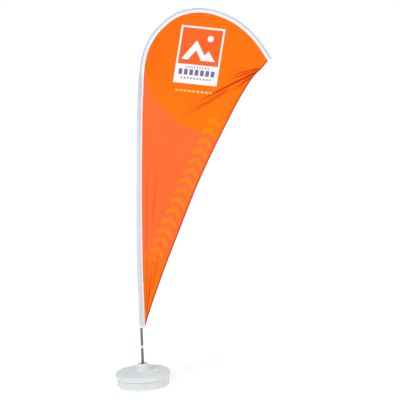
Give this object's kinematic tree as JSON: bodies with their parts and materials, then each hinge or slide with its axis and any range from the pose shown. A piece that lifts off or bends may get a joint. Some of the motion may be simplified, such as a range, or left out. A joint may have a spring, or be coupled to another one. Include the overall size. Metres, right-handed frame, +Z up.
{
  "type": "teardrop flag",
  "caption": "Free-standing teardrop flag: printed cloth on a curved mast that turns on a spindle, held by a round water-filled base with a screw cap.",
  "frame": {"origin": "middle of the base's underside, on the spindle's axis", "axes": "+Z up along the spindle, +X the way the flag flies from the mast, -Y the printed front"},
  "size_m": [1.2339, 0.4, 2.7364],
  "materials": {
    "tank_plastic": "blow-moulded white polyethylene, satin",
    "water": null,
    "brass": "plain",
    "steel": "zinc plated",
    "post_steel": "galvanised, dull",
    "nylon": "white nylon",
    "aluminium": "mill finish",
    "fibreglass": "dark pultruded rod",
    "rubber": "black",
    "sleeve_cloth": "white knitted polyester, slightly see-through",
    "flag_cloth": "dye-printed polyester",
    "hem_cloth": "folded and stitched hem",
    "cap_plastic": "white polypropylene"
  },
  "bodies": {
    "base": {"tank_bottom": "tank_plastic", "tank_top": "tank_plastic", "water_ballast": "water", "threaded_insert": "brass", "post_stud": "steel", "post_nut": "steel", "post": "post_steel", "bearing_lower": "nylon", "bearing_upper": "nylon"},
    "rotor": {"spindle": "steel", "retaining_clip": "steel", "thrust_washer": "steel", "spindle_collar": "nylon"},
    "mast": {"mast_bush": "nylon", "mast_guide_bush": "nylon", "mast_tube_lower": "aluminium", "joint_spigot": "aluminium", "mast_tube_upper": "aluminium", "rod_reducer": "nylon", "rod_lower": "fibreglass", "rod_ferrule": "steel", "rod_tip": "fibreglass", "rod_end_cap": "rubber", "pole_sleeve": "sleeve_cloth", "tip_pocket": "sleeve_cloth", "seam_band": "sleeve_cloth", "tension_eyelet": "brass", "flag_panel": "flag_cloth", "free_edge_hem": "hem_cloth"},
    "gasket": {"cap_gasket": "rubber"},
    "cap": {"filler_cap": "cap_plastic"}
  },
  "joints": [
    {"name": "mast_turn", "type": "hinge", "parent": "base", "child": "rotor", "pos_m": [0, 0, 0.263], "axis": [0, 0, 1], "continuous": true},
    {"name": "mast_lift", "type": "slide", "parent": "rotor", "child": "mast", "axis": [0, 0, 1], "range_m": [0, 0.14]},
    {"name": "cap_lift", "type": "slide", "parent": "base", "child": "gasket", "axis": [0, 0, 1], "range_m": [0, 0.009]},
    {"name": "cap_turn", "type": "hinge", "parent": "gasket", "child": "cap", "pos_m": [0.1, -0.033, 0.105], "axis": [0, 0, 1], "range_deg": [0, 1080]}
  ],
  "couplings": [
    {"joint": "cap_turn", "follows": "cap_lift", "rad_per_m": 2094.4}
  ]
}
